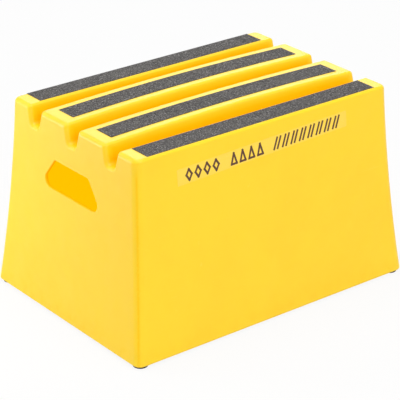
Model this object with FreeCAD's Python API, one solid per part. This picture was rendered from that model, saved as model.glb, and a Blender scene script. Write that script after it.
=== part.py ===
"""Mounting block: a hollow moulded step with four anti-slip tread strips and four screwed-on rubber feet.

Millimetres, +Z up. X runs along the step. The label is on the -Y wall, and each end wall has a hand hole.
The origin is on the ground, under the middle of the step.
"""
import FreeCAD
import Part
import math
import os

Vector = FreeCAD.Vector

# Body: outer sizes of the moulding without its feet, to its sharp corners.
BASE_LENGTH = 509.0
BASE_WIDTH = 364.0
TOP_LENGTH = 464.0
TOP_WIDTH = 305.0
BODY_HEIGHT = 301.2
WALL = 6.0
WALL_BOW = 3.0  # how far each wall curves inwards halfway up
CORNER_RADIUS = 12.0  # upright corners
LEAST_INNER_RADIUS = 1.0  # upright corners of the hollow, where the wall is thick
BASE_EDGE_RADIUS = 3.0

# Grooves that part the top into slats.
GROOVE_COUNT = 3
OUTER_SLAT_WIDTH = 44.0  # to its sharp corners
GROOVE_MOUTH = 30.0  # to its sharp corners
GROOVE_FLOOR = 16.0
GROOVE_DEPTH = 28.0
GROOVE_FLOOR_RADIUS = 6.0
INNER_SLAT_CROWN = 4.5  # how far the inner slats rise over the outer ones, halfway along
SLAT_EDGE_RADIUS = 4.5  # long edges of the slats
END_EDGE_RADIUS = 7.0  # ends of the slats and grooves

# Hand holes: a flat top between sloping shoulders, over a wider flat bottom.
HAND_HOLE_DROP = 63.0  # from the slats' tops to the hole's top
HAND_HOLE_HEIGHT = 46.0
HAND_HOLE_WIDTH = 130.0
HAND_HOLE_TOP_WIDTH = 84.0
HAND_HOLE_SIDE = 16.0  # height of its upright sides, below the shoulders
HAND_HOLE_LOW_RADIUS = 12.0
HAND_HOLE_SHOULDER_RADIUS = 9.0
HAND_HOLE_TOP_RADIUS = 5.0
HAND_HOLE_EDGE_RADIUS = 1.2

# Shallow recess that keeps the middle of the underside off the ground.
RECESS_BORDER = 46.0
RECESS_DEPTH = 5.0
RECESS_CORNER_RADIUS = 30.0

# Tread strips, cut from one width of grit-coated tape.
TREAD_THICKNESS = 0.9
TREAD_EDGE_MARGIN = 0.2  # from the strip's side to where the slat's edge starts to round
TREAD_END_MARGIN = 23.0  # from the strip's end to the sharp end of the slat

# Label: clear film on the -Y wall, stuck on a little out of level.
LABEL_LENGTH = 313.0
LABEL_HEIGHT = 24.5
LABEL_THICKNESS = 0.2
LABEL_MIDDLE_X = -7.0
LABEL_DROP = 37.0  # from the slats' tops to the label's middle
LABEL_TILT = 1.9  # degrees, the +X end higher
LABEL_CORNER_RADIUS = 1.5

# Feet, and the screw, washer and threaded insert that hold each one.
FOOT_DIAMETER = 22.0
FOOT_EDGE_GAP = 4.0  # from the foot's rim to the base's outline
FOOT_EDGE_RADIUS = 0.8
FOOT_SEAT = 0.9  # rubber between the washer and the body
WASHER_DIAMETER = 14.0
WASHER_THICKNESS = 0.8
WASHER_CLEARANCE = 0.2
HEAD_DIAMETER = 9.5
HEAD_HEIGHT = 1.2
HEAD_EDGE_RADIUS = 0.6
HEAD_RECESS = 0.7  # from the ground up to the screw's head
SCREW_DIAMETER = 4.2
SCREW_LENGTH = 12.0  # under the head
SHANK_CLEARANCE = 0.2  # round the screw in the foot and the washer
THREAD_CLEARANCE = 0.05  # round the screw in the insert
DRIVE_SPAN = 4.4
DRIVE_WIDTH = 1.0
DRIVE_DEPTH = 0.8
INSERT_DIAMETER = 9.5
INSERT_LENGTH = 13.0
INSERT_CAP = 1.5  # brass over the blind end of its bore
INSERT_GROOVE_WIDTH = 3.0
INSERT_GROOVE_DEPTH = 0.8
BOSS_WALL = 4.0  # plastic round and over each insert

CUT_MARGIN = 20.0  # how far a cutting solid runs past what it cuts
TINY = 1e-4  # less than this apart counts as level or touching

# Values that follow from those above.
COUNTERBORE_DEPTH = HEAD_RECESS + HEAD_HEIGHT + WASHER_THICKNESS
FOOT_HEIGHT = COUNTERBORE_DEPTH + FOOT_SEAT
BASE_Z = FOOT_HEIGHT
TOP_Z = BASE_Z + BODY_HEIGHT
GROOVE_PITCH = (TOP_WIDTH - 2 * OUTER_SLAT_WIDTH - GROOVE_MOUTH) / (GROOVE_COUNT - 1)
GROOVE_SLOPE = (GROOVE_MOUTH - GROOVE_FLOOR) / 2 / GROOVE_DEPTH  # sideways run for each step down
CROWN_RADIUS = (TOP_LENGTH ** 2 / 4 + INNER_SLAT_CROWN ** 2) / (2 * INNER_SLAT_CROWN)
CROWN_CENTRE_Z = TOP_Z + INNER_SLAT_CROWN - CROWN_RADIUS
WALL_SLOPE = ((BASE_WIDTH - TOP_WIDTH) / 2 - 4 * WALL_BOW) / BODY_HEIGHT  # of the long walls at their top
FOOT_INSET = FOOT_DIAMETER / 2 + FOOT_EDGE_GAP
HAND_HOLE_TOP = TOP_Z - HAND_HOLE_DROP
HAND_HOLE_BOTTOM = HAND_HOLE_TOP - HAND_HOLE_HEIGHT
HEAD_TOP = HEAD_RECESS + HEAD_HEIGHT
INSERT_TOP = BASE_Z + INSERT_LENGTH


def in_xz(across, z):
    return Vector(across, 0, z)


def in_yz(across, z):
    return Vector(0, across, z)


def half_span(base_size, top_size, z, inset):
    """Half the block's size at height z, on the straight line from base to top."""
    rise = (z - BASE_Z) / BODY_HEIGHT
    return (base_size + (top_size - base_size) * rise) / 2 - inset


def wall_arc(low, high, bow, place):
    """One wall's outline from its low to its high (across, z) point, curved inwards by bow at its middle."""
    run = high[0] - low[0]
    rise = high[1] - low[1]
    length = math.hypot(run, rise)
    inwards = -math.copysign(1, low[0])
    middle_across = (low[0] + high[0]) / 2 + inwards * bow * rise / length
    middle_z = (low[1] + high[1]) / 2 - inwards * bow * run / length
    return Part.Arc(place(*low), place(middle_across, middle_z), place(*high)).toShape()


def tapered_prism(base_size, top_size, low_z, high_z, inset, place, reach):
    """A prism with level top and bottom and two bowed walls, drawn out both ways square to its section."""
    low = half_span(base_size, top_size, low_z, inset)
    high = half_span(base_size, top_size, high_z, inset)
    outline = Part.Wire([
        Part.makeLine(place(-low, low_z), place(low, low_z)),
        wall_arc((low, low_z), (high, high_z), WALL_BOW, place),
        Part.makeLine(place(high, high_z), place(-high, high_z)),
        wall_arc((-low, low_z), (-high, high_z), WALL_BOW, place).reversed(),
    ])
    direction = place(1, 0).cross(Vector(0, 0, 1))
    face = Part.Face(outline)
    face.translate(direction * -reach)
    return face.extrude(direction * 2 * reach)


def tapered_block(low_z, high_z, inset):
    """The moulding's plain block with sharp corners, or a smaller one that lies inset within it."""
    reach = max(BASE_LENGTH, BASE_WIDTH) / 2 + CUT_MARGIN
    side_view = tapered_prism(BASE_LENGTH, TOP_LENGTH, low_z, high_z, inset, in_xz, reach)
    end_view = tapered_prism(BASE_WIDTH, TOP_WIDTH, low_z, high_z, inset, in_yz, reach)
    return side_view.common(end_view)


def round_uprights(block, radius):
    """The block with its four upright corners rounded."""
    height = block.BoundBox.ZLength
    uprights = [edge for edge in block.Edges if edge.BoundBox.ZLength > height / 2]
    return block.makeFillet(radius, uprights)


def long_edges(prism, height):
    """The edges that run along X at the given height."""
    return [edge for edge in prism.Edges
            if edge.BoundBox.XLength > BASE_LENGTH and abs(edge.CenterOfMass.z - height) < TINY]


def groove_middles():
    """Each groove's middle across the step, from -Y to +Y."""
    first = -GROOVE_PITCH * (GROOVE_COUNT - 1) / 2
    return [first + GROOVE_PITCH * n for n in range(GROOVE_COUNT)]


def groove_prism(middle_y, spread):
    """A groove's space along the whole step, or that space and a wall of thickness spread round it."""
    floor_z = TOP_Z - GROOVE_DEPTH - spread
    mouth_z = TOP_Z + CUT_MARGIN
    floor_half = GROOVE_FLOOR / 2 + spread * (math.hypot(1, GROOVE_SLOPE) - GROOVE_SLOPE)
    mouth_half = floor_half + GROOVE_SLOPE * (mouth_z - floor_z)
    corners = [(-mouth_half, mouth_z), (-floor_half, floor_z), (floor_half, floor_z), (mouth_half, mouth_z)]
    points = [in_yz(across + middle_y, z) for across, z in corners]
    reach = BASE_LENGTH / 2 + CUT_MARGIN
    face = Part.Face(Part.makePolygon(points + points[:1]))
    face.translate(Vector(-reach, 0, 0))
    prism = face.extrude(Vector(2 * reach, 0, 0))
    return prism.makeFillet(GROOVE_FLOOR_RADIUS, long_edges(prism, floor_z))


def on_crown(radius, x, sign):
    """The point at sign * x on the arc of that radius about the crown's centre."""
    return in_xz(sign * x, CROWN_CENTRE_Z + math.sqrt(radius ** 2 - x ** 2))


def crown_arc(radius, half_length):
    low, high = on_crown(radius, half_length, -1), on_crown(radius, half_length, 1)
    return Part.Arc(low, on_crown(radius, 0, 1), high).toShape()


def drawn_across(edges, low_y, high_y):
    """The closed outline of some edges in the XZ plane, drawn out from low_y to high_y."""
    face = Part.Face(Part.Wire(edges))
    face.translate(Vector(0, low_y, 0))
    return face.extrude(Vector(0, high_y - low_y, 0))


def crown_prism(radius, half_length):
    """A long lens with an arched top, from the first groove to the last, that fills out the inner slats."""
    arc = crown_arc(radius, half_length)
    left, right = on_crown(radius, half_length, -1), on_crown(radius, half_length, 1)
    low_left = left + Vector(CUT_MARGIN, 0, -CUT_MARGIN)
    low_right = right + Vector(-CUT_MARGIN, 0, -CUT_MARGIN)
    corners = [right, low_right, low_left, left]
    sides = [Part.makeLine(start, end) for start, end in zip(corners, corners[1:])]
    grooves = groove_middles()
    return drawn_across([arc, *sides], grooves[0], grooves[-1])


def round_edges(shape, radius_of):
    """The shape with each edge rounded to radius_of(edge), where that isn't None."""
    document = FreeCAD.newDocument("rounding")
    sharp = document.addObject("Part::Feature", "sharp")
    sharp.Shape = shape
    rounded = document.addObject("Part::Fillet", "rounded")
    rounded.Base = sharp
    radii = [(number, radius_of(edge)) for number, edge in enumerate(shape.Edges, start=1)]
    rounded.Edges = [(number, radius, radius) for number, radius in radii if radius]
    document.recompute()
    result = rounded.Shape.copy()
    FreeCAD.closeDocument(document.Name)
    if not result.isValid() or not result.Solids:
        raise RuntimeError("these edges can't be rounded")
    return result


def top_edge_radius(edge):
    """The radius of an edge of a slat's top or of a groove's end, or None for any other edge."""
    box = edge.BoundBox
    if box.ZMin > TOP_Z - TINY:
        return SLAT_EDGE_RADIUS if box.XLength > TOP_LENGTH / 2 else END_EDGE_RADIUS
    if box.ZMin > TOP_Z - GROOVE_DEPTH - TINY and box.XLength < END_EDGE_RADIUS:
        return END_EDGE_RADIUS
    return None


def outer_block():
    """The moulding's outside, with its grooves and its rounded edges."""
    block = round_uprights(tapered_block(BASE_Z, TOP_Z, 0), CORNER_RADIUS)
    block = block.fuse(crown_prism(CROWN_RADIUS, TOP_LENGTH / 2))
    for middle_y in groove_middles():
        block = block.cut(groove_prism(middle_y, 0))
    block = round_edges(block, top_edge_radius)
    base_edges = [edge for edge in block.Edges if edge.BoundBox.ZMax < BASE_Z + TINY]
    return block.makeFillet(BASE_EDGE_RADIUS, base_edges)


def slab(length, width, low_z, high_z, corner_radius):
    """A level slab over the origin, with round upright corners."""
    box = Part.makeBox(length, width, high_z - low_z, Vector(-length / 2, -width / 2, low_z))
    uprights = [edge for edge in box.Edges if edge.BoundBox.ZLength > TINY]
    return box.makeFillet(corner_radius, uprights)


def underside_recess(grow):
    """The recess in the underside, or that recess and a wall of thickness grow round and over it."""
    length = BASE_LENGTH - 2 * RECESS_BORDER + 2 * grow
    width = BASE_WIDTH - 2 * RECESS_BORDER + 2 * grow
    high_z = BASE_Z + RECESS_DEPTH + grow
    return slab(length, width, BASE_Z - CUT_MARGIN, high_z, RECESS_CORNER_RADIUS + grow)


def cylinder(diameter, low_z, high_z, place=(0, 0)):
    return Part.makeCylinder(diameter / 2, high_z - low_z, Vector(place[0], place[1], low_z))


def foot_places():
    """Each foot's middle, near the four corners of the base."""
    x = BASE_LENGTH / 2 - FOOT_INSET
    y = BASE_WIDTH / 2 - FOOT_INSET
    return [(-x, -y), (x, -y), (x, y), (-x, y)]


def hollow():
    """The space inside the moulding."""
    inner_radius = max(CORNER_RADIUS - WALL, LEAST_INNER_RADIUS)
    space = round_uprights(tapered_block(BASE_Z + WALL, TOP_Z - WALL, WALL), inner_radius)
    space = space.fuse(crown_prism(CROWN_RADIUS - WALL, TOP_LENGTH / 2 - 2 * WALL))
    for middle_y in groove_middles():
        space = space.cut(groove_prism(middle_y, WALL))
    space = space.cut(underside_recess(WALL))
    for place in foot_places():
        space = space.cut(cylinder(INSERT_DIAMETER + 2 * BOSS_WALL, BASE_Z, INSERT_TOP + BOSS_WALL, place))
    return space


def hand_hole_prism():
    """The shape of both hand holes, drawn along the whole step."""
    top_half = HAND_HOLE_TOP_WIDTH / 2
    half = HAND_HOLE_WIDTH / 2
    side_z = HAND_HOLE_BOTTOM + HAND_HOLE_SIDE
    corners = [(-half, HAND_HOLE_BOTTOM), (half, HAND_HOLE_BOTTOM), (half, side_z),
               (top_half, HAND_HOLE_TOP), (-top_half, HAND_HOLE_TOP), (-half, side_z)]
    reach = BASE_LENGTH / 2 + CUT_MARGIN
    points = [in_yz(across, z) for across, z in corners]
    face = Part.Face(Part.makePolygon(points + points[:1]))
    face.translate(Vector(-reach, 0, 0))
    prism = face.extrude(Vector(2 * reach, 0, 0))
    prism = prism.makeFillet(HAND_HOLE_LOW_RADIUS, long_edges(prism, HAND_HOLE_BOTTOM))
    prism = prism.makeFillet(HAND_HOLE_SHOULDER_RADIUS, long_edges(prism, side_z))
    return prism.makeFillet(HAND_HOLE_TOP_RADIUS, long_edges(prism, HAND_HOLE_TOP))


def is_hand_hole_rim(edge):
    """Whether an edge of the body goes round a hand hole, on the outside or the inside of its wall."""
    box = edge.BoundBox
    in_height = box.ZMin > HAND_HOLE_BOTTOM - TINY and box.ZMax < HAND_HOLE_TOP + TINY
    in_width = max(-box.YMin, box.YMax) < HAND_HOLE_WIDTH / 2 + TINY
    return in_height and in_width and box.XLength < WALL / 2


def body_shell():
    """The one-piece moulding: its outside less its hollow, recess, hand holes and pockets for the inserts."""
    body = outer_block().cut(hollow()).cut(underside_recess(0)).cut(hand_hole_prism())
    body = body.makeFillet(HAND_HOLE_EDGE_RADIUS, [edge for edge in body.Edges if is_hand_hole_rim(edge)])
    for place in foot_places():
        body = body.cut(insert_outside(place))
    return body


def rounding_width(slope):
    """How much of a slat's flat top its rounded edge takes over a wall of this outward slope."""
    return SLAT_EDGE_RADIUS * math.tan((math.pi / 2 - math.atan(slope)) / 2)


def flat_strip(length, width, middle_y):
    return Part.makeBox(length, width, TREAD_THICKNESS, Vector(-length / 2, middle_y - width / 2, TOP_Z))


def arched_strip(length, width, middle_y):
    """A strip of tape bent over an inner slat's crown."""
    low_radius, high_radius = CROWN_RADIUS, CROWN_RADIUS + TREAD_THICKNESS
    half = length / 2
    edges = [
        crown_arc(low_radius, half),
        Part.makeLine(on_crown(low_radius, half, 1), on_crown(high_radius, half, 1)),
        crown_arc(high_radius, half).reversed(),
        Part.makeLine(on_crown(high_radius, half, -1), on_crown(low_radius, half, -1)),
    ]
    return drawn_across(edges, middle_y - width / 2, middle_y + width / 2)


def tread_strips():
    """One strip of tape on each slat, from -Y to +Y. The outer slats' flat tops set its width."""
    flat_start = TOP_WIDTH / 2 - OUTER_SLAT_WIDTH + rounding_width(GROOVE_SLOPE)
    flat_end = TOP_WIDTH / 2 - rounding_width(WALL_SLOPE)
    width = flat_end - flat_start - 2 * TREAD_EDGE_MARGIN
    outer_middle = (flat_start + flat_end) / 2
    grooves = groove_middles()
    length = TOP_LENGTH - 2 * TREAD_END_MARGIN
    inner = [arched_strip(length, width, (low + high) / 2) for low, high in zip(grooves, grooves[1:])]
    return [flat_strip(length, width, -outer_middle), *inner, flat_strip(length, width, outer_middle)]


def load_label():
    """The film, cut from a thin skin over the -Y wall so that it follows the wall's curve."""
    middle = Vector(LABEL_MIDDLE_X, -TOP_WIDTH / 2, TOP_Z - LABEL_DROP)
    corner = middle - Vector(LABEL_LENGTH / 2, CUT_MARGIN, LABEL_HEIGHT / 2)
    outline = Part.makeBox(LABEL_LENGTH, 2 * CUT_MARGIN, LABEL_HEIGHT, corner)
    outline = outline.makeFillet(
        LABEL_CORNER_RADIUS, [edge for edge in outline.Edges if edge.BoundBox.YLength > CUT_MARGIN])
    outline.rotate(middle, Vector(0, -1, 0), LABEL_TILT)
    skin = tapered_block(BASE_Z, TOP_Z, -LABEL_THICKNESS).cut(tapered_block(BASE_Z, TOP_Z, 0))
    return outline.common(skin)


def foot(place):
    """A rubber disc with a counterbore for the washer and screw head, and a hole for the screw."""
    disc = cylinder(FOOT_DIAMETER, 0, FOOT_HEIGHT, place)
    disc = disc.makeFillet(FOOT_EDGE_RADIUS, [edge for edge in disc.Edges if edge.BoundBox.ZMax < TINY])
    counterbore = cylinder(WASHER_DIAMETER + 2 * WASHER_CLEARANCE, -CUT_MARGIN, COUNTERBORE_DEPTH, place)
    hole = cylinder(SCREW_DIAMETER + 2 * SHANK_CLEARANCE, -CUT_MARGIN, FOOT_HEIGHT + CUT_MARGIN, place)
    return disc.cut(counterbore).cut(hole)


def foot_washer(place):
    low_z = COUNTERBORE_DEPTH - WASHER_THICKNESS
    ring = cylinder(WASHER_DIAMETER, low_z, COUNTERBORE_DEPTH, place)
    return ring.cut(cylinder(SCREW_DIAMETER + 2 * SHANK_CLEARANCE, low_z, COUNTERBORE_DEPTH, place))


def foot_screw(place):
    """A screw with a low round head and a cross-shaped drive, its head down."""
    head = cylinder(HEAD_DIAMETER, HEAD_RECESS, HEAD_TOP, place)
    rim = [edge for edge in head.Edges if edge.BoundBox.ZMax < HEAD_RECESS + TINY]
    head = head.makeFillet(HEAD_EDGE_RADIUS, rim)
    shank = cylinder(SCREW_DIAMETER, HEAD_TOP, HEAD_TOP + SCREW_LENGTH, place)
    screw = head.fuse(shank)
    low_z = HEAD_RECESS - DRIVE_DEPTH
    for length, width in ((DRIVE_SPAN, DRIVE_WIDTH), (DRIVE_WIDTH, DRIVE_SPAN)):
        corner = Vector(place[0] - length / 2, place[1] - width / 2, low_z)
        screw = screw.cut(Part.makeBox(length, width, 2 * DRIVE_DEPTH, corner))
    return screw.removeSplitter()


def insert_outside(place):
    """The threaded insert as a solid plug, with a ring cut round its middle for the plastic to grip."""
    middle_z = (BASE_Z + INSERT_TOP) / 2
    low_z = middle_z - INSERT_GROOVE_WIDTH / 2
    high_z = middle_z + INSERT_GROOVE_WIDTH / 2
    plug = cylinder(INSERT_DIAMETER, BASE_Z, INSERT_TOP, place)
    ring = cylinder(INSERT_DIAMETER + 2 * INSERT_GROOVE_DEPTH, low_z, high_z, place)
    ring = ring.cut(cylinder(INSERT_DIAMETER - 2 * INSERT_GROOVE_DEPTH, low_z, high_z, place))
    return plug.cut(ring)


def foot_insert(place):
    """The brass insert, its bore blind so that the moulding stays closed."""
    bore_top = INSERT_TOP - INSERT_CAP
    bore = cylinder(SCREW_DIAMETER + 2 * THREAD_CLEARANCE, BASE_Z - CUT_MARGIN, bore_top, place)
    return insert_outside(place).cut(bore)


def pieces():
    """Every node's name and shape."""
    named = {"body_shell": body_shell(), "load_label": load_label()}
    for number, strip in enumerate(tread_strips(), start=1):
        named[f"tread_strip_{number}"] = strip
    for number, place in enumerate(foot_places(), start=1):
        named[f"foot_{number}"] = foot(place)
        named[f"foot_washer_{number}"] = foot_washer(place)
        named[f"foot_screw_{number}"] = foot_screw(place)
        named[f"foot_insert_{number}"] = foot_insert(place)
    return named


os.makedirs("parts", exist_ok=True)
for name, shape in pieces().items():
    if not shape.isValid() or len(shape.Solids) != 1:
        raise RuntimeError(f"{name} isn't one valid solid")
    shape.exportStep(f"parts/{name}.step")
    print(f"{name}: {shape.Volume / 1000:.2f} cubic centimetres")
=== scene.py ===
import math
import random

import bmesh
import bpy
from bpy.props import FloatProperty, FloatVectorProperty, IntProperty, PointerProperty
from mathutils import Matrix, Vector, noise


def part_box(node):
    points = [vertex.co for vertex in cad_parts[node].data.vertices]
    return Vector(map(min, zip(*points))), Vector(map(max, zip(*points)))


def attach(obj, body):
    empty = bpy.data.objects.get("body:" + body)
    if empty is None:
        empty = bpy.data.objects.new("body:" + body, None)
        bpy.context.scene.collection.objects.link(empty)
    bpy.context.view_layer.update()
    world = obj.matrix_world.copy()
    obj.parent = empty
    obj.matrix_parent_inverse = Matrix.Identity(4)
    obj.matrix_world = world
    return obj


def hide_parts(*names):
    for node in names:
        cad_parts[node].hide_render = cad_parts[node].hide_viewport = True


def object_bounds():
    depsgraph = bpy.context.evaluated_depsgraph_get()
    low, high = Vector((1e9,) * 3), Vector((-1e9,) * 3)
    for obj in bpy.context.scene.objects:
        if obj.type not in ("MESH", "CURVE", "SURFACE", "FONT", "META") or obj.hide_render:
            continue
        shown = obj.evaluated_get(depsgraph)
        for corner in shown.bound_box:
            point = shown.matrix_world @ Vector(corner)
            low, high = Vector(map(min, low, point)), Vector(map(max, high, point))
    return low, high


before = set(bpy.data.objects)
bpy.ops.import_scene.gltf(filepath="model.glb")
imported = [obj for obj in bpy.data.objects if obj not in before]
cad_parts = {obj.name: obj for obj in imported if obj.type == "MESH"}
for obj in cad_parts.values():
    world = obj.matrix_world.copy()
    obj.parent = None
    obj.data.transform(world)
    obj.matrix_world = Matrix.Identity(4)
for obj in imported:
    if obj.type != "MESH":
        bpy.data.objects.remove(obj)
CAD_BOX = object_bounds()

bl_info = {
    "name": "Mounting block",
    "version": (1, 0, 0),
    "blender": (4, 5, 0),
    "location": "View3D > Sidebar > Mounting block",
    "description": "Models a moulded mounting block with grit treads, a load label and rubber feet",
    "category": "Add Mesh",
}

BODY = "root"
STRIPS = [f"tread_strip_{n}" for n in range(1, 5)]
FEET = [f"foot_{n}" for n in range(1, 5)]
WASHERS = [f"foot_washer_{n}" for n in range(1, 5)]
SCREWS = [f"foot_screw_{n}" for n in range(1, 5)]
INSERTS = [f"foot_insert_{n}" for n in range(1, 5)]

SHELL_LOW, SHELL_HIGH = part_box("body_shell")
STRIP_LOW, STRIP_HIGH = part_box(STRIPS[0])
LABEL_LOW, LABEL_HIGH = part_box("load_label")
TOP = STRIP_LOW.z  # the outer slats' tops
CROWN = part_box(STRIPS[1])[1].z - STRIP_HIGH.z  # how far the inner slats rise in their middle
LEAST_CROWN = 0.0001  # a slat that rises less than this counts as straight
SLAT_LENGTH = 0.464
WALL = 0.006
GROOVES = (-0.0935, 0.0, 0.0935)  # each groove's middle
GROOVE_REACH = 0.034  # from the outer slats' tops to the underside of the grooves' floors
HAND_HOLE_HALF = 0.065
HAND_HOLE_LOW = TOP - 0.109
HAND_HOLE_HIGH = TOP - 0.063
FILM = 0.0002  # the label's thickness under the ink
MERGE = 1e-6  # points nearer than this are merged
FINE_MERGE = 1e-7

# Where the painted shade of a groove or a hand hole begins and where it is full.
GROOVE_SIDES = 0.012, 0.016  # from a groove's middle, full to none
GROOVE_LIPS = 0.001, 0.0055  # down from the slats' tops
GROOVE_ENDS = 0.004, 0.011  # in from the end walls
HOLE_LIPS = 0.0005, 0.002  # in from the end walls
# Where the painted shade along an upright corner runs.
CORNER_SHADE_STRIPE = 0.0, 0.0018  # from the middle of an upright corner, full to none
CORNER_SHADE_TOPS = TOP - 0.03, TOP - 0.01  # full to none
BROAD_WAVES, NARROW_WAVES = 13, 31  # how many waves a metre of wall has

WHITE = (1.0, 1.0, 1.0, 1.0)
GRIME = (0.42, 0.27, 0.06)
WORN_GRIT = (0.16, 0.155, 0.14)
FILM_DUST = (0.96, 0.82, 0.35)
THIN_INK = (0.30, 0.13, 0.03)
RUBBER_BLOOM = (0.05, 0.044, 0.038)
DULL_STEEL = (0.36, 0.32, 0.26)
TARNISHED_BRASS = (0.34, 0.21, 0.08)

# Each lamp's place, the point that it aims at, and its width.
KEY_LAMP = (-0.35, 0.0, 2.8), (0, 0, 0.15), 2.2
FILL_LAMP = (-0.3, -2.5, 1.9), (0, 0, 0.15), 2.4
RIM_LAMP = (-0.72, 0.52, 0.28), (-0.25, 0.15, 0.15), 0.4
BACK_LAMP = (1.7, 2.1, 1.5), (0, 0, 0.3), 2.0
EDGE_LAMP = (-1.3, 2.2, 2.0), (0, 0, 0.3), 1.6
FLOOR_WHITE = 0.89  # the share of plain white in what the camera sees of the floor


# ---------------------------------------------------------------------------------------------
# Sizes and colours
# ---------------------------------------------------------------------------------------------

class BodySettings(bpy.types.PropertyGroup):
    base_length: FloatProperty(
        name="Base length",
        description="Length of the moulding at the ground, to its sharp corners",
        default=0.509, unit="LENGTH")
    base_width: FloatProperty(
        name="Base width", description="Width of the moulding at the ground, to its sharp corners",
        default=0.364, unit="LENGTH")
    top_length: FloatProperty(
        name="Top length", description="Length of the moulding at the treads, to its sharp corners",
        default=SLAT_LENGTH, unit="LENGTH")
    top_width: FloatProperty(
        name="Top width", description="Width of the moulding at the treads, to its sharp corners",
        default=0.305, unit="LENGTH")
    bow: FloatProperty(
        name="Wall bow", description="How far each wall curves inwards halfway up",
        default=0.003, unit="LENGTH")
    corner: FloatProperty(
        name="Corner radius", description="Radius of the upright corners",
        default=0.012, unit="LENGTH")
    spacing: FloatProperty(
        name="Loop spacing", description="Distance between the edge loops that cross the walls",
        default=0.012, unit="LENGTH")
    sink: FloatProperty(
        name="Sink depth",
        description="Depth of the shallow waves that cooling leaves in the walls",
        default=0.0003, unit="LENGTH")
    colour: FloatVectorProperty(
        name="Colour", description="Colour of the moulded plastic", subtype="COLOR",
        default=(0.95, 0.635, 0.005), min=0, max=1)
    deep_colour: FloatVectorProperty(
        name="Deep colour", description="Colour of the plastic where the pigment is denser",
        subtype="COLOR", default=(0.94, 0.585, 0.002), min=0, max=1)
    # Painted shade: the colour laid in the grooves and hand holes.
    recess_shade_colour: FloatVectorProperty(
        name="Recess shade colour", description="Colour of the painted shade in the grooves and hand holes",
        subtype="COLOR", default=(0.95, 0.53, 0.0), min=0, max=1)
    # Painted shade: the colour laid along the upright corners.
    corner_shade_colour: FloatVectorProperty(
        name="Corner shade colour", description="Colour of the painted shade along the upright corners",
        subtype="COLOR", default=(0.94, 0.55, 0.0), min=0, max=1)
    scuff_colour: FloatVectorProperty(
        name="Scuff colour", description="Colour of rubbed and scratched plastic",
        subtype="COLOR", default=(0.96, 0.75, 0.12), min=0, max=1)
    roughness: FloatProperty(
        name="Roughness", description="Roughness of the clean plastic", subtype="FACTOR",
        default=0.38, min=0, max=1)
    inside_colour: FloatVectorProperty(
        name="Inside colour", description="Colour of the plastic inside the moulding",
        subtype="COLOR", default=(0.93, 0.56, 0.0), min=0, max=1)
    # Painted light: the inside glows, standing in for daylight through the walls.
    painted_glow_colour: FloatVectorProperty(
        name="Painted glow colour", description="Colour of the painted glow that stands in for daylight through the walls",
        subtype="COLOR", default=(1.0, 0.72, 0.0), min=0, max=1)
    glow: FloatProperty(
        name="Glow", description="Strength of the painted glow that stands in for daylight through the walls",
        default=0.34, min=0)


class TreadSettings(bpy.types.PropertyGroup):
    grain: FloatProperty(
        name="Grit spacing", description="Distance between the grains that stand up from the tape",
        default=0.0011, unit="LENGTH")
    relief: FloatProperty(
        name="Grit relief", description="Height between the lowest and the highest grains",
        default=0.00032, unit="LENGTH")
    ragged: FloatProperty(
        name="Ragged edge", description="How far the cut edges of the tape wander",
        default=0.00018, unit="LENGTH")
    colour: FloatVectorProperty(
        name="Colour", description="Colour of the grit between its bright grains", subtype="COLOR",
        default=(0.107, 0.100, 0.096), min=0, max=1)
    # Painted shade: the colour of the pits.
    pit_shade_colour: FloatVectorProperty(
        name="Pit shade colour", description="Colour of the painted shade in the pits between grains", subtype="COLOR",
        default=(0.026, 0.0245, 0.023), min=0, max=1)
    spark_colour: FloatVectorProperty(
        name="Grain colour", description="Colour of the bright grains", subtype="COLOR",
        default=(0.22, 0.203, 0.190), min=0, max=1)


class LabelSettings(bpy.types.PropertyGroup):
    tilt: FloatProperty(
        name="Tilt", description="How far the label is out of level, its +X end higher",
        default=math.radians(1.9), unit="ROTATION")
    mark_height: FloatProperty(
        name="Mark height", description="Height of the printed marks", default=0.0192,
        unit="LENGTH")
    mark_width: FloatProperty(
        name="Mark width", description="Width of the printed marks", default=0.0128, unit="LENGTH")
    pitch: FloatProperty(
        name="Mark pitch", description="Distance from one mark to the next", default=0.016,
        unit="LENGTH")
    stroke: FloatProperty(
        name="Stroke", description="Width of the printed lines", default=0.0032, unit="LENGTH")
    ink: FloatProperty(
        name="Ink thickness", description="Thickness of the ink over the film", default=0.00006,
        unit="LENGTH")
    film_colour: FloatVectorProperty(
        name="Film colour", description="Colour of the plastic under the clear film",
        subtype="COLOR", default=(0.95, 0.645, 0.055), min=0, max=1)
    ink_colour: FloatVectorProperty(
        name="Ink colour", description="Colour of the printed marks", subtype="COLOR",
        default=(0.085, 0.028, 0.010), min=0, max=1)


class FootSettings(bpy.types.PropertyGroup):
    turns: IntProperty(
        name="Sides", description="Facets round each foot", default=64, min=12)
    edge: FloatProperty(
        name="Edge radius", description="Radius of the foot's rim", default=0.0008, unit="LENGTH")
    bore: FloatProperty(
        name="Bore radius", description="Radius of the recess for the washer", default=0.0072,
        unit="LENGTH")
    shank: FloatProperty(
        name="Shank hole radius", description="Radius of the hole for the screw", default=0.0023,
        unit="LENGTH")
    seat: FloatProperty(
        name="Seat thickness", description="Rubber between the washer and the body",
        default=0.0009, unit="LENGTH")
    colour: FloatVectorProperty(
        name="Rubber colour", description="Colour of the feet", subtype="COLOR",
        default=(0.010, 0.009, 0.008), min=0, max=1)
    steel_colour: FloatVectorProperty(
        name="Steel colour", description="Colour of the plated washers and screws",
        subtype="COLOR", default=(0.62, 0.60, 0.56), min=0, max=1)
    brass_colour: FloatVectorProperty(
        name="Brass colour", description="Colour of the threaded inserts", subtype="COLOR",
        default=(0.78, 0.55, 0.22), min=0, max=1)


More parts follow.
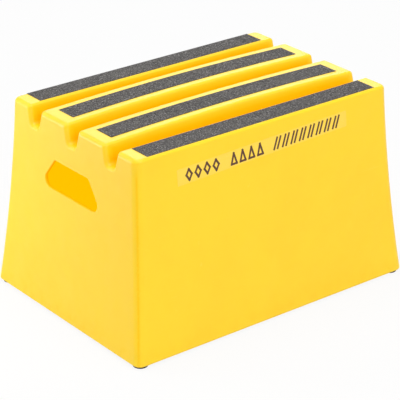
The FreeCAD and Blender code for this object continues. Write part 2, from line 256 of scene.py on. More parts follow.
class StageSettings(bpy.types.PropertyGroup):
    floor_size: FloatProperty(
        name="Floor size", description="Length of the floor's sides", default=14.0, unit="LENGTH")
    floor_colour: FloatVectorProperty(
        name="Floor colour", description="Colour of the floor", subtype="COLOR",
        default=(0.72, 0.72, 0.72), min=0, max=1)
    azimuth: FloatProperty(
        name="Azimuth", description="Where the camera stands round the block",
        default=math.radians(-38.13), unit="ROTATION")
    elevation: FloatProperty(
        name="Elevation", description="How far the camera looks down",
        default=math.radians(24.8), unit="ROTATION")
    lens: FloatProperty(
        name="Lens", description="Focal length in millimetres", default=169.6)
    distance: FloatProperty(
        name="Distance", description="From the camera to the middle of the treads",
        default=2.778, unit="LENGTH")
    aim_left: FloatProperty(
        name="Aim left", description="How far left of the treads' middle the camera aims",
        default=0.0015, unit="LENGTH")
    aim_drop: FloatProperty(
        name="Aim drop", description="How far below the treads the camera aims, in its own view",
        default=0.1621, unit="LENGTH")
    world: FloatProperty(
        name="World light", description="Strength of the light from all round", default=0.58)
    key: FloatProperty(
        name="Key light", description="Power of the large lamp overhead in watts",
        default=31.5)
    fill: FloatProperty(
        name="Fill light", description="Power of the lamp in front of the label's wall in watts",
        default=38.5)
    rim: FloatProperty(
        name="Rim light", description="Power of the lamp behind the left end in watts",
        default=1.9)
    back: FloatProperty(
        name="Back light", description="Power of the low lamp behind the block in watts",
        default=14.0)
    edge: FloatProperty(
        name="Edge light", description="Power of the lamp that picks out the slats' ends in watts",
        default=7.0)


# ---------------------------------------------------------------------------------------------
# Materials
# ---------------------------------------------------------------------------------------------

class Number:
    """A number that varies over a surface. Arithmetic on it adds Math nodes."""

    def __init__(self, finish, socket):
        self.finish = finish
        self.socket = socket

    def math(self, operation, *values):
        node = self.finish.node("ShaderNodeMath", {"operation": operation}, dict(enumerate(values)))
        return Number(self.finish, node.outputs[0])

    def __add__(self, other):
        return self.math("ADD", self, other)

    __radd__ = __add__

    def __sub__(self, other):
        return self.math("SUBTRACT", self, other)

    def __rsub__(self, other):
        return self.math("SUBTRACT", other, self)

    def __mul__(self, other):
        return self.math("MULTIPLY", self, other)

    __rmul__ = __mul__

    def clear_of(self, low, high):
        """0 below low and 1 above high, with a smooth rise between them."""
        node = self.finish.node(
            "ShaderNodeMapRange", {"interpolation_type": "SMOOTHSTEP"},
            {"Value": self, "From Min": low, "From Max": high})
        return Number(self.finish, node.outputs["Result"])


class Finish:
    """One material, its shader and the nodes that vary it."""

    def __init__(self, name, colour, **constants):
        self.material = bpy.data.materials.new(name)
        self.material.diffuse_color = (*colour, 1)
        self.material.use_nodes = True
        self.tree = self.material.node_tree
        self.tree.nodes.clear()
        self.output = self.node("ShaderNodeOutputMaterial")
        self.shader = self.node("ShaderNodeBsdfPrincipled")
        self.link(self.shader.outputs["BSDF"], self.output.inputs["Surface"])
        self.set("Base Color", (*colour, 1))
        for socket, value in constants.items():
            self.set(socket.replace("_", " "), value)
        self.place = self.node("ShaderNodeTexCoord").outputs["Object"]

    def link(self, source, target):
        self.tree.links.new(source, target)

    def put(self, socket, value):
        if isinstance(value, Number):
            value = value.socket
        if isinstance(value, bpy.types.NodeSocket):
            self.link(value, socket)
        elif socket.type == "RGBA" and len(value) == 3:
            socket.default_value = (*value, 1)
        else:
            socket.default_value = value

    def node(self, kind, settings=None, values=None):
        """A node of that type, its settings first and then its sockets' values or links."""
        node = self.tree.nodes.new(kind)
        for name, value in (settings or {}).items():
            setattr(node, name, value)
        for name, value in (values or {}).items():
            self.put(node.inputs[name], value)
        return node

    def set(self, socket, value):
        self.put(self.shader.inputs[socket], value)

    def stretched(self, scale, turn=(0, 0, 0)):
        return self.node("ShaderNodeMapping", None,
                         {"Vector": self.place, "Scale": scale, "Rotation": turn}).outputs[0]

    def noise(self, scale, detail=2.0, rough=0.5, place=None, warp=0.0):
        node = self.node("ShaderNodeTexNoise", None, {
            "Vector": place or self.place, "Scale": scale, "Detail": detail, "Roughness": rough,
            "Distortion": warp})
        return Number(self, node.outputs["Fac"])

    def cells(self, scale):
        """How far a point is from the middle of the nearest cell."""
        node = self.node("ShaderNodeTexVoronoi", None, {"Vector": self.place, "Scale": scale})
        return Number(self, node.outputs["Distance"])

    def cell_tone(self, scale):
        """A random tone for each cell."""
        node = self.node("ShaderNodeTexVoronoi", None, {"Vector": self.place, "Scale": scale})
        parts = self.node("ShaderNodeSeparateColor", None, {"Color": node.outputs["Color"]})
        return Number(self, parts.outputs[0])

    def mix(self, factor, low, high):
        """The colour low where factor is 0 and high where it is 1."""
        node = self.node("ShaderNodeMix", {"data_type": "RGBA", "clamp_factor": True},
                         {0: factor, 6: low, 7: high})
        return node.outputs[2]

    def bump(self, height, distance, under=None):
        """Raises the surface by height times distance, over the bumps of another normal."""
        values = {"Height": height, "Distance": distance, "Strength": 1.0}
        if under is not None:
            values["Normal"] = under
        normal = self.node("ShaderNodeBump", None, values).outputs["Normal"]
        self.set("Normal", normal)
        return normal

    def blend_matt(self, factor, colour, normal):
        """Mixes in a shader with hardly any gloss."""
        matt = self.node("ShaderNodeBsdfPrincipled", None, {
            "Base Color": colour, "Roughness": 0.8, "IOR": 1.5, "Specular IOR Level": 0.05,
            "Normal": normal})
        blend = self.node("ShaderNodeMixShader", None, {
            0: factor, 1: self.shader.outputs["BSDF"], 2: matt.outputs["BSDF"]})
        self.link(blend.outputs[0], self.output.inputs["Surface"])

    def attribute(self, name):
        """A number that the piece's own vertices carry."""
        node = self.node("ShaderNodeAttribute", {"attribute_name": name})
        return Number(self, node.outputs["Fac"])

    def height(self):
        """How high a point is over the ground."""
        parts = self.node("ShaderNodeSeparateXYZ", None, {"Vector": self.place})
        return Number(self, parts.outputs["Z"])


def plastic_finish(body):
    """Moulded polyethylene: a satin skin with pigment swirls, orange peel, scuffs and grime, and
    painted shade: a duller, deeper colour in the grooves, the hand holes and along the upright
    corners."""
    finish = Finish("moulded_yellow", body.colour, IOR=1.5, Subsurface_Weight=0.12,
                    Subsurface_Scale=0.006, Subsurface_Radius=(1.0, 0.6, 0.1))
    swirl = finish.noise(5.0, 3.0, 0.55, warp=0.6)
    speck = finish.noise(900.0, 2.0, 0.6)
    cloud = finish.noise(38.0, 4.0, 0.6)
    pigment = (swirl * 0.7 + cloud * 0.3).clear_of(0.40, 0.66)
    colour = finish.mix(pigment * 0.55, body.colour, body.deep_colour)

    long_marks = finish.noise(46.0, 3.0, 0.75, finish.stretched((0.25, 1.0, 9.0), (0.0, 0.35, 0.2)))
    short_marks = finish.noise(120.0, 2.0, 0.7, finish.stretched((1.0, 5.0, 0.4), (0.5, 0.0, 0.9)))
    where = finish.noise(9.0, 2.0, 0.5).clear_of(0.50, 0.68)
    scratches = long_marks.clear_of(0.66, 0.72) + short_marks.clear_of(0.68, 0.74)
    scuffs = scratches * where
    # Painted shade: a deeper, duller colour in the grooves and hand holes.
    recess_shade = finish.attribute("recess_shade")
    colour = finish.mix(recess_shade, colour, body.recess_shade_colour)
    # Painted shade: a deeper stripe along the middle of each upright corner.
    colour = finish.mix(finish.attribute("corner"), colour, body.corner_shade_colour)
    low = 1 - finish.height().clear_of(0.01, 0.05)
    grime = low * finish.noise(60.0, 4.0, 0.65).clear_of(0.42, 0.70)
    colour = finish.mix(scuffs * 0.25, colour, body.scuff_colour)
    colour = finish.mix(grime * 0.05, colour, GRIME)
    colour = finish.mix(speck.clear_of(0.66, 0.74) * 0.20, colour, body.deep_colour)
    finish.set("Base Color", colour)
    finish.set("Roughness", body.roughness + (cloud - 0.5) * 0.16 + scuffs * 0.18 + grime * 0.2)

    peel = finish.noise(420.0, 2.0, 0.5)
    waves = finish.noise(24.0, 1.0, 0.4)
    under = finish.bump(waves, 0.0012)
    under = finish.bump(peel, 0.00010, under)
    normal = finish.bump(scuffs, 0.00006, under)
    # Where shade is painted in the recesses and along the corners, a matt shader is mixed in as
    # well.
    finish.blend_matt(recess_shade * 0.93 + finish.attribute("corner") * 0.6, colour, normal)
    return finish.material


def inside_finish(body):
    """The rough inside of the moulding, with a painted glow: it emits light that stands in for the
    daylight that comes through its walls.
    """
    finish = Finish("moulded_inside_painted_glow", body.inside_colour, IOR=1.5, Emission_Strength=body.glow)
    cloud = finish.noise(30.0, 3.0, 0.6)
    ripple = finish.noise(140.0, 3.0, 0.6)
    shade = cloud.clear_of(0.35, 0.7) * 0.5
    finish.set("Base Color", finish.mix(shade, body.inside_colour, body.deep_colour))
    # Painted light: the inside emits light of this colour.
    finish.set("Emission Color", finish.mix(cloud * 0.3, body.painted_glow_colour, body.deep_colour))
    finish.set("Roughness", 0.55 + ripple * 0.2)
    finish.bump(ripple, 0.0005)
    return finish.material


def grit_finish(tread):
    """Mineral grit in grey resin: pits darkened with painted shade, bright grains and a few worn
    patches.
    """
    finish = Finish("grit_tape", tread.colour, IOR=1.5)
    grain = finish.cells(1500.0)
    clump = finish.noise(380.0, 3.0, 0.75) * 0.65 + finish.noise(1000.0, 2.0, 0.6) * 0.35
    patch = finish.noise(26.0, 3.0, 0.6)
    tone = finish.cell_tone(800.0)
    # Painted shade: darker where the bump sinks, in the pits between grains.
    colour = finish.mix(clump.clear_of(0.44, 0.56), tread.pit_shade_colour, tread.colour)
    colour = finish.mix(tone.clear_of(0.78, 0.98) * 0.62, colour, tread.spark_colour)
    colour = finish.mix(patch.clear_of(0.5, 0.75) * 0.25, colour, WORN_GRIT)
    finish.set("Base Color", colour)
    finish.set("Roughness", 0.95 - tone.clear_of(0.86, 0.97) * 0.55)
    under = finish.bump(clump, 0.0006)
    finish.bump(1 - grain, 0.0003, under)
    return finish.material


def film_finish(label):
    """Film over the plastic, a little paler, with fine wrinkles and specks of dust under it."""
    finish = Finish("label_film", label.film_colour, IOR=1.46)
    dust = finish.noise(700.0, 2.0, 0.6).clear_of(0.60, 0.72)
    finish.set("Base Color", finish.mix(dust * 0.3, label.film_colour, FILM_DUST))
    finish.set("Roughness", 0.24 + finish.noise(150.0, 3.0, 0.6) * 0.14)
    finish.bump(finish.noise(60.0, 2.0, 0.5), 0.0002)
    return finish.material


def ink_finish(label):
    """Screen-printed ink with uneven cover."""
    finish = Finish("label_ink", label.ink_colour, IOR=1.5)
    cover = finish.noise(900.0, 3.0, 0.7)
    thin = cover.clear_of(0.60, 0.74)
    finish.set("Base Color", finish.mix(thin * 0.18, label.ink_colour, THIN_INK))
    finish.set("Roughness", 0.42 + cover * 0.2)
    finish.bump(cover, 0.00003)
    return finish.material


def rubber_finish(foot):
    """Moulded rubber with bloom and dust."""
    finish = Finish("foot_rubber", foot.colour, IOR=1.5, Specular_IOR_Level=0.2)
    dust = finish.noise(320.0, 4.0, 0.65)
    bloom = dust.clear_of(0.45, 0.75)
    finish.set("Base Color", finish.mix(bloom * 0.3, foot.colour, RUBBER_BLOOM))
    finish.set("Roughness", 0.58 + bloom * 0.25)
    finish.bump(finish.noise(2600.0, 2.0, 0.6), 0.00008)
    return finish.material


def steel_finish(foot):
    """Plated steel with turning marks and spots of dulled plating."""
    finish = Finish("plated_steel", foot.steel_colour, Metallic=1.0)
    dull = finish.noise(420.0, 4.0, 0.65).clear_of(0.46, 0.72)
    finish.set("Base Color", finish.mix(dull * 0.6, foot.steel_colour, DULL_STEEL))
    finish.set("Roughness", 0.26 + dull * 0.25)
    finish.bump(finish.noise(1900.0, 2.0, 0.5), 0.00003)
    return finish.material


def brass_finish(foot):
    """Machined brass with tarnish."""
    finish = Finish("insert_brass", foot.brass_colour, Metallic=1.0)
    tarnish = finish.noise(260.0, 4.0, 0.65).clear_of(0.42, 0.74)
    finish.set("Base Color", finish.mix(tarnish * 0.6, foot.brass_colour, TARNISHED_BRASS))
    finish.set("Roughness", 0.28 + tarnish * 0.25)
    finish.bump(finish.noise(1500.0, 2.0, 0.5, finish.stretched((1, 1, 8))), 0.00004)
    return finish.material


# ---------------------------------------------------------------------------------------------
# Shapes
# ---------------------------------------------------------------------------------------------

def add_piece(name, shape, material, slot, *nodes):
    """Puts a finished bmesh in the scene as a piece that rides on the body."""
    mesh = bpy.data.meshes.new(name)
    shape.to_mesh(mesh)
    shape.free()
    mesh.materials.append(material)
    piece = bpy.data.objects.new(name, mesh)
    bpy.context.scene.collection.objects.link(piece)
    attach(piece, BODY)
    if nodes:
        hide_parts(*nodes)
    return piece


def repaint(names, material):
    """Gives carried-over nodes a material."""
    for name in names:
        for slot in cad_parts[name].material_slots:
            slot.material = material


def shade_smooth(piece, angle):
    """Smooth shading, with an edge kept sharp where its faces turn by more than angle."""
    piece.data.shade_smooth()
    piece.data.set_sharp_from_angle(angle=angle)
    weighted = piece.modifiers.new("Even shading", "WEIGHTED_NORMAL")
    weighted.keep_sharp = True


def bowed(base_size, top_size, bow, z):
    """Half the moulding's size at height z, on a wall that curves inwards by bow at its middle."""
    low, high = SHELL_LOW.z, TOP
    run = (base_size - top_size) / 2
    rise = high - low
    chord = math.hypot(run, rise)
    radius = (chord * chord / 4 + bow * bow) / (2 * bow)
    along = ((z - low) / rise - 0.5) * chord
    inwards = math.sqrt(radius * radius - along * along) - (radius - bow)
    share = (z - low) / rise
    return (base_size + (top_size - base_size) * share) / 2 - inwards * chord / rise


def crown_drop(crown, x):
    """How far an arched slat lies below its middle at x, where its middle rises by crown."""
    if crown < LEAST_CROWN:
        return 0
    half = SLAT_LENGTH / 2
    radius = (half * half + crown * crown) / (2 * crown)
    return radius - math.sqrt(radius * radius - x * x)


def crown_rise(y, x):
    """How far a slat's top at (x, y) rises over the outer slats' tops."""
    crown = CROWN if abs(y) < GROOVES[-1] else 0
    return crown - crown_drop(crown, x)


def merged_copy(name):
    """A bmesh of a node's mesh with its doubles merged."""
    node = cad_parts[name]
    shape = bmesh.new()
    shape.from_mesh(node.data)
    shape.transform(node.matrix_world)
    bmesh.ops.remove_doubles(shape, verts=shape.verts, dist=MERGE)
    return shape


def slice_across(shape, axis, low, high, spacing):
    """Cuts edge loops across a shape, square to an axis and evenly spaced."""
    count = max(1, round((high - low) / spacing))
    normal = Vector((0, 0, 0))
    normal[axis] = 1
    for n in range(1, count):
        place = normal * (low + (high - low) * n / count)
        bmesh.ops.bisect_plane(
            shape, geom=[*shape.verts, *shape.edges, *shape.faces], dist=MERGE,
            plane_co=place, plane_no=normal)


def fade(value, low, high):
    """0 below low and 1 above high, with a smooth rise between them."""
    share = min(1, max(0, (value - low) / (high - low)))
    return share * share * (3 - 2 * share)


class MOUNTING_OT_body(bpy.types.Operator):
    """Model the moulded body"""
    bl_idname = "mounting.body"
    bl_label = "Moulded body"

    def execute(self, context):
        body = context.scene.mounting_body
        shape = merged_copy("body_shell")
        for axis in range(3):
            slice_across(shape, axis, SHELL_LOW[axis], SHELL_HIGH[axis], body.spacing)
        self.settle_walls(shape, body)
        self.mark_inside(shape, body)
        self.mark_painted_shade(shape, body)
        piece = add_piece("moulded_body", shape, plastic_finish(body), "moulded_body", "body_shell")
        piece.data.materials.append(inside_finish(body))
        shade_smooth(piece, angle=math.radians(40))
        return {"FINISHED"}

    def mark_inside(self, shape, body):
        """Gives the hollow's faces the second material: all that are reached from its floor, up to
        the hand holes."""
        rim, margin = 0.0004, 0.002

        def in_hand_hole(face):
            x, y, z = face.calc_center_median()
            end = bowed(body.base_length, body.top_length, body.bow, z)
            return (end - WALL + rim < abs(x) and abs(y) < HAND_HOLE_HALF + margin
                    and HAND_HOLE_LOW - margin < z < HAND_HOLE_HIGH + margin)

        floor_middle = Vector((0, 0, (SHELL_LOW.z + SHELL_HIGH.z) / 16))
        start = min((face for face in shape.faces if face.normal.z > 0.9),
                    key=lambda face: (face.calc_center_median() - floor_middle).length)
        reached = {start}
        waiting = [start]
        while waiting:
            face = waiting.pop()
            face.material_index = 1
            for edge in face.edges:
                for other in edge.link_faces:
                    if other not in reached and not in_hand_hole(other):
                        reached.add(other)
                        waiting.append(other)

    def mark_painted_shade(self, shape, body):
        """Gives each vertex a number for the painted shade in a groove or on a hand hole's lip, and
        one that says how near it is to the middle of an upright corner, for the painted shade along
        it."""
        recess_shade = shape.verts.layers.float.new("recess_shade")
        # The corner attribute carries the painted shade along the upright corners.
        corner = shape.verts.layers.float.new("corner")
        margin = 0.001
        near = 0.004  # an upright corner's stripe runs no farther round than this
        for vertex in shape.verts:
            x, y, z = vertex.co
            top = TOP + crown_rise(y, x)
            across = min(abs(y - middle) for middle in GROOVES)
            in_groove = (1 - fade(across, *GROOVE_SIDES)) * fade(top - z, *GROOVE_LIPS)
            end = bowed(body.base_length, body.top_length, body.bow, z)
            side = bowed(body.base_width, body.top_width, body.bow, z)
            inner = in_groove * fade(end - abs(x), *GROOVE_ENDS) * (z > TOP - GROOVE_REACH)
            in_hole = (fade(end - abs(x), *HOLE_LIPS) * (abs(y) < HAND_HOLE_HALF + margin)
                       * (HAND_HOLE_LOW - margin < z < HAND_HOLE_HIGH + margin))
            out = min(end - abs(x), side - abs(y))
            ridge = body.corner * (1 - math.sqrt(0.5))
            near_ridge = max(end - abs(x), side - abs(y)) - ridge < near and out > 0
            # Painted shade in the grooves and on the hand holes' lips.
            vertex[recess_shade] = max(inner, in_hole)
            # Painted shade along the middle of each upright corner, fading out towards the top.
            vertex[corner] = near_ridge * (1 - fade(abs(out - ridge), *CORNER_SHADE_STRIPE)) * (
                1 - fade(z, *CORNER_SHADE_TOPS))

    def settle_walls(self, shape, body):
        """Puts the walls' vertices on the bowed surface and sinks the walls in shallow waves."""
        near = 0.0004  # a vertex this near to the surface belongs to the wall
        calm = 0.03  # the waves die away over this distance from the walls' edges
        low, high = SHELL_LOW.z + 0.003, TOP - 0.007
        for vertex in shape.verts:
            x, y, z = vertex.co
            if not low <= z <= high:
                continue
            end = bowed(body.base_length, body.top_length, body.bow, z)
            side = bowed(body.base_width, body.top_width, body.bow, z)
            on_end = abs(abs(x) - end) < near and abs(y) < side - body.corner
            on_side = abs(abs(y) - side) < near and abs(x) < end - body.corner
            if not (on_end or on_side):
                continue
            wave = noise.noise(vertex.co * BROAD_WAVES) * 0.5 + 0.5
            wave += (noise.noise(vertex.co * NARROW_WAVES) * 0.5 + 0.5) * 0.4
            depth = body.sink * wave * fade(z, low, low + calm)
            depth *= 1 - fade(z, high - 0.07, high - calm)
            if on_end:
                hold = fade(side - body.corner - abs(y), 0, calm)
                vertex.co.x = math.copysign(min(end - depth * hold, CAD_BOX[1].x), x)
            else:
                hold = fade(end - body.corner - abs(x), 0, calm)
                vertex.co.y = math.copysign(min(side - depth * hold, SHELL_HIGH.y), y)


class MOUNTING_OT_treads(bpy.types.Operator):
    """Model the four strips of grit tape"""
    bl_idname = "mounting.treads"
    bl_label = "Grit treads"

    def execute(self, context):
        tread = context.scene.mounting_tread
        material = grit_finish(tread)
        for number, name in enumerate(STRIPS, start=1):
            shape = self.strip(tread, name, random.Random(number))
            piece = add_piece(f"grit_strip_{number}", shape, material, "grit_tape", name)
            piece.data.set_sharp_from_angle(angle=math.radians(60))
        return {"FINISHED"}

    def strip(self, tread, name, chance):
        """A strip bent over its slat's arch: a flat underside, and a top of grains at random
        heights, a little out of line."""
        low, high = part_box(name)
        length, width = high.x - low.x, high.y - low.y
        middle = (low + high) / 2
        crown = high.z - STRIP_HIGH.z
        thickness = STRIP_HIGH.z - STRIP_LOW.z
        shape = bmesh.new()
        bmesh.ops.create_grid(
            shape, x_segments=round(length / tread.grain), y_segments=round(width / tread.grain),
            size=0.5)
        bmesh.ops.scale(shape, vec=(length, width, 1), verts=shape.verts)
        bmesh.ops.translate(shape, vec=(middle.x, middle.y, 0), verts=shape.verts)
        rim = {vertex for vertex in shape.verts if vertex.is_boundary}
        for vertex in rim:
            inwards = Vector((middle.x - vertex.co.x, middle.y - vertex.co.y, 0))
            inwards.x = math.copysign(tread.ragged * chance.random(), inwards.x)
            inwards.y = math.copysign(tread.ragged * chance.random(), inwards.y)
            vertex.co += inwards
        for vertex in shape.verts:
            vertex.co.z = high.z - thickness - crown_drop(crown, vertex.co.x)
        skin = bmesh.ops.extrude_face_region(shape, geom=list(shape.faces), use_keep_orig=True)
        for vertex in (part for part in skin["geom"] if isinstance(part, bmesh.types.BMVert)):
            on_rim = any(edge.other_vert(vertex) in rim for edge in vertex.link_edges)
            vertex.co.z += thickness - tread.relief * (1 if on_rim else chance.random() ** 1.5)
            if not on_rim:
                vertex.co.x += (chance.random() - 0.5) * tread.grain / 2
                vertex.co.y += (chance.random() - 0.5) * tread.grain / 2
        bmesh.ops.recalc_face_normals(shape, faces=shape.faces)
        return shape


class MOUNTING_OT_label(bpy.types.Operator):
    """Finish the label's film and print generic marks on it"""
    bl_idname = "mounting.label"
    bl_label = "Load label"

    def execute(self, context):
        label = context.scene.mounting_label
        body = context.scene.mounting_body
        repaint(["load_label"], film_finish(label))
        shape = bmesh.new()
        groups = [(4, self.diamond), (4, self.triangle), (8, self.slashes)]
        total = sum(count for count, _ in groups) + len(groups) - 1
        across = -(total - 1) / 2 * label.pitch
        for count, draw in groups:
            for _ in range(count):
                draw(shape, label, across)
                across += label.pitch
            across += label.pitch
        self.lay_on_wall(shape, label, body)
        add_piece("label_marks", shape, ink_finish(label), "label_film")
        return {"FINISHED"}

    def stroke(self, shape, label, start, end):
        """A flat bar from start to end on the label, in its own plane."""
        start, end = Vector((*start, 0)), Vector((*end, 0))
        run = end - start
        turn = Matrix.Rotation(math.atan2(run.y, run.x), 4, "Z")
        size = Matrix.Diagonal((run.length + label.stroke, label.stroke, label.ink, 1))
        place = Matrix.Translation((start + end) / 2) @ turn @ size
        bmesh.ops.create_cube(shape, size=1, matrix=place)

    def reach(self, label):
        """How far a mark's outline runs from its middle, across and up."""
        return (label.mark_width - label.stroke) / 2, (label.mark_height - label.stroke) / 2

    def outline(self, shape, label, corners):
        for start, end in zip(corners, corners[1:] + corners[:1]):
            self.stroke(shape, label, start, end)

    def diamond(self, shape, label, across):
        half, rise = self.reach(label)
        self.outline(shape, label, [
            (across - half, 0), (across, -rise), (across + half, 0), (across, rise)])

    def triangle(self, shape, label, across):
        half, rise = self.reach(label)
        self.outline(shape, label, [
            (across - half, -rise), (across + half, -rise), (across, rise)])

    def slashes(self, shape, label, across):
        half, rise = label.mark_width / 4, self.reach(label)[1]
        for shift in (-half, half):
            self.stroke(shape, label, (across + shift - half, -rise), (across + shift + half, rise))

    def lay_on_wall(self, shape, label, body):
        """Turns the flat marks up on the -Y wall, tilted like the film and bent to its curve."""
        middle = (LABEL_LOW + LABEL_HIGH) / 2
        bmesh.ops.rotate(shape, matrix=Matrix.Rotation(label.tilt, 3, "Z"), verts=shape.verts)
        for vertex in shape.verts:
            x, up, out = vertex.co
            z = middle.z + up
            wall = bowed(body.base_width, body.top_width, body.bow, z)
            vertex.co = (middle.x + x, -(wall + FILM + label.ink / 2 + out), z)
        bmesh.ops.recalc_face_normals(shape, faces=shape.faces)


class MOUNTING_OT_feet(bpy.types.Operator):
    """Model the rubber feet"""
    bl_idname = "mounting.feet"
    bl_label = "Rubber feet"

    def execute(self, context):
        foot = context.scene.mounting_foot
        material = rubber_finish(foot)
        for number, name in enumerate(FEET, start=1):
            piece = add_piece(f"rubber_foot_{number}", self.turned(foot, name), material,
                              "foot_rubber", name)
            shade_smooth(piece, angle=math.radians(35))
        return {"FINISHED"}

    def turned(self, foot, name):
        """A foot spun from its section: a rolled rim, a waist, tread rings and a stepped bore."""
        low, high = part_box(name)
        radius, height = (high.x - low.x) / 2, high.z - low.z
        chamfer, dip, pinch, bevel = 0.0004, 0.0003, 0.0002, 0.0003
        rings = []
        inner, outer = foot.bore + chamfer, radius - foot.edge
        step = (outer - inner) / 5
        for n in (1, 3):
            rings += [(inner + step * n, 0), (inner + step * (n + 0.25), dip),
                      (inner + step * (n + 0.75), dip), (inner + step * (n + 1), 0)]
        roll = [(radius - foot.edge * (1 - math.cos(turn)), foot.edge * (1 - math.sin(turn)))
                for turn in (math.radians(90 - 22.5 * n) for n in range(5))]
        waist = [(radius, height * 0.50), (radius - pinch, height * 0.58),
                 (radius - pinch, height * 0.68), (radius, height * 0.76)]
        section = [(foot.shank, height - foot.seat), (foot.bore, height - foot.seat),
                   (foot.bore, chamfer), (inner, 0), *rings, *roll, *waist,
                   (radius, height - bevel), (radius - bevel, height), (foot.shank, height)]
        shape = bmesh.new()
        points = [shape.verts.new((across, 0, up)) for across, up in section]
        edges = [shape.edges.new(pair) for pair in zip(points, points[1:] + points[:1])]
        bmesh.ops.spin(shape, geom=[*points, *edges], cent=(0, 0, 0), axis=(0, 0, 1),
                       angle=2 * math.pi, steps=foot.turns, use_merge=True)
        bmesh.ops.remove_doubles(shape, verts=shape.verts, dist=FINE_MERGE)
        bmesh.ops.recalc_face_normals(shape, faces=shape.faces)
        middle = (low + high) / 2
        bmesh.ops.translate(shape, vec=(middle.x, middle.y, low.z), verts=shape.verts)
        return shape


class MOUNTING_OT_fixings(bpy.types.Operator):
    """Finish the washers, screws and inserts"""
    bl_idname = "mounting.fixings"
    bl_label = "Fixings"

    def execute(self, context):
        foot = context.scene.mounting_foot
        repaint(WASHERS + SCREWS, steel_finish(foot))
        repaint(INSERTS, brass_finish(foot))
        return {"FINISHED"}


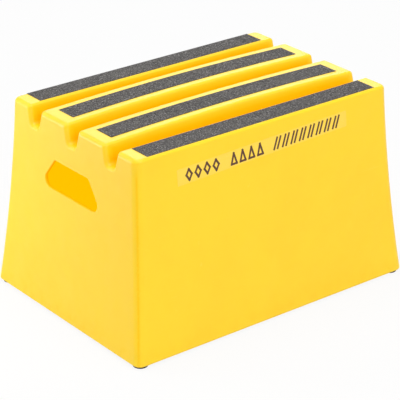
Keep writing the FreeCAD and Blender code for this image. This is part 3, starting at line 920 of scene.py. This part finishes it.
class MOUNTING_OT_stage(bpy.types.Operator):
    """Lay the floor and set the lights and the camera"""
    bl_idname = "mounting.stage"
    bl_label = "Stage"

    def execute(self, context):
        stage = context.scene.mounting_stage
        self.floor(stage)
        self.world(context.scene, stage)
        top = Vector((0, 0, STRIP_HIGH.z))
        self.lamp("key_light", *KEY_LAMP, stage.key)
        self.lamp("fill_light", *FILL_LAMP, stage.fill)
        self.lamp("rim_light", *RIM_LAMP, stage.rim)
        self.lamp("back_light", *BACK_LAMP, stage.back)
        self.lamp("edge_light", *EDGE_LAMP, stage.edge)
        self.camera(context.scene, stage, top)
        context.scene.view_settings.view_transform = "Standard"
        return {"FINISHED"}

    def floor(self, stage):
        shape = bmesh.new()
        bmesh.ops.create_grid(shape, x_segments=1, y_segments=1, size=stage.floor_size / 2)
        mesh = bpy.data.meshes.new("floor")
        shape.to_mesh(mesh)
        shape.free()
        finish = Finish("pale_floor", stage.floor_colour, Roughness=0.9)
        glow = finish.node("ShaderNodeEmission", None, {"Color": WHITE, "Strength": 1.0})
        rays = finish.node("ShaderNodeLightPath")
        seen = Number(finish, rays.outputs["Is Camera Ray"])
        seen = seen + rays.outputs["Is Glossy Ray"] + rays.outputs["Is Transmission Ray"]
        blend = finish.node("ShaderNodeMixShader", None, {
            0: seen.clear_of(0, 1) * FLOOR_WHITE, 1: finish.shader.outputs[0],
            2: glow.outputs[0]})
        finish.link(blend.outputs[0], finish.output.inputs["Surface"])
        mesh.materials.append(finish.material)
        floor = bpy.data.objects.new("floor", mesh)
        bpy.context.scene.collection.objects.link(floor)

    def world(self, scene, stage):
        world = bpy.data.worlds.new("studio")
        scene.world = world
        world.use_nodes = True
        nodes, links = world.node_tree.nodes, world.node_tree.links
        nodes.clear()
        output = nodes.new("ShaderNodeOutputWorld")
        rays = nodes.new("ShaderNodeLightPath")
        seen = rays.outputs["Is Camera Ray"]
        for name in ("Is Glossy Ray", "Is Transmission Ray"):
            either = nodes.new("ShaderNodeMath")
            either.operation = "MAXIMUM"
            links.new(seen, either.inputs[0])
            links.new(rays.outputs[name], either.inputs[1])
            seen = either.outputs[0]
        plain = nodes.new("ShaderNodeBackground")
        plain.inputs["Color"].default_value = WHITE
        plain.inputs["Strength"].default_value = stage.world
        white = nodes.new("ShaderNodeBackground")
        white.inputs["Color"].default_value = WHITE
        white.inputs["Strength"].default_value = 1.0
        blend = nodes.new("ShaderNodeMixShader")
        links.new(seen, blend.inputs[0])
        links.new(plain.outputs[0], blend.inputs[1])
        links.new(white.outputs[0], blend.inputs[2])
        links.new(blend.outputs[0], output.inputs["Surface"])

    def lamp(self, name, place, aim, size, power):
        light = bpy.data.lights.new(name, "AREA")
        light.shape = "DISK"
        light.size = size
        light.energy = power
        lamp = bpy.data.objects.new(name, light)
        lamp.location = place
        lamp.rotation_euler = (Vector(aim) - Vector(place)).to_track_quat("-Z", "Y").to_euler()
        bpy.context.scene.collection.objects.link(lamp)

    def camera(self, scene, stage, top):
        turn, tip = stage.azimuth, stage.elevation
        back = Vector((
            math.sin(turn) * math.cos(tip), -math.cos(turn) * math.cos(tip), math.sin(tip)))
        right = Vector((math.cos(turn), math.sin(turn), 0))
        up = back.cross(right)
        data = bpy.data.cameras.new("camera")
        data.lens = stage.lens
        data.sensor_width = 36
        data.clip_start = 0.1
        camera = bpy.data.objects.new("camera", data)
        camera.location = top - right * stage.aim_left - up * stage.aim_drop + back * stage.distance
        camera.rotation_euler = back.to_track_quat("Z", "Y").to_euler()
        scene.collection.objects.link(camera)
        scene.camera = camera


class MOUNTING_PT_panel(bpy.types.Panel):
    """Lists the mounting block's operators"""
    bl_idname = "MOUNTING_PT_panel"
    bl_label = "Mounting block"
    bl_space_type = "VIEW_3D"
    bl_region_type = "UI"
    bl_category = "Mounting block"

    def draw(self, context):
        for operator in OPERATORS:
            self.layout.operator(operator.bl_idname)
        for group in GROUPS:
            box = self.layout.box()
            settings = getattr(context.scene, group)
            for name in settings.__annotations__:
                box.prop(settings, name)


OPERATORS = [MOUNTING_OT_body, MOUNTING_OT_treads, MOUNTING_OT_label, MOUNTING_OT_feet,
             MOUNTING_OT_fixings, MOUNTING_OT_stage]
GROUPS = {
    "mounting_body": BodySettings,
    "mounting_tread": TreadSettings,
    "mounting_label": LabelSettings,
    "mounting_foot": FootSettings,
    "mounting_stage": StageSettings,
}
CLASSES = [*GROUPS.values(), *OPERATORS, MOUNTING_PT_panel]


def register():
    for cls in CLASSES:
        bpy.utils.register_class(cls)
    for name, settings in GROUPS.items():
        setattr(bpy.types.Scene, name, PointerProperty(type=settings))


def unregister():
    for name in GROUPS:
        delattr(bpy.types.Scene, name)
    for cls in reversed(CLASSES):
        bpy.utils.unregister_class(cls)


def main():
    register()
    bpy.ops.mounting.body()
    bpy.ops.mounting.treads()
    bpy.ops.mounting.label()
    bpy.ops.mounting.feet()
    bpy.ops.mounting.fixings()
    bpy.ops.mounting.stage()


if __name__ == "__main__":
    main()
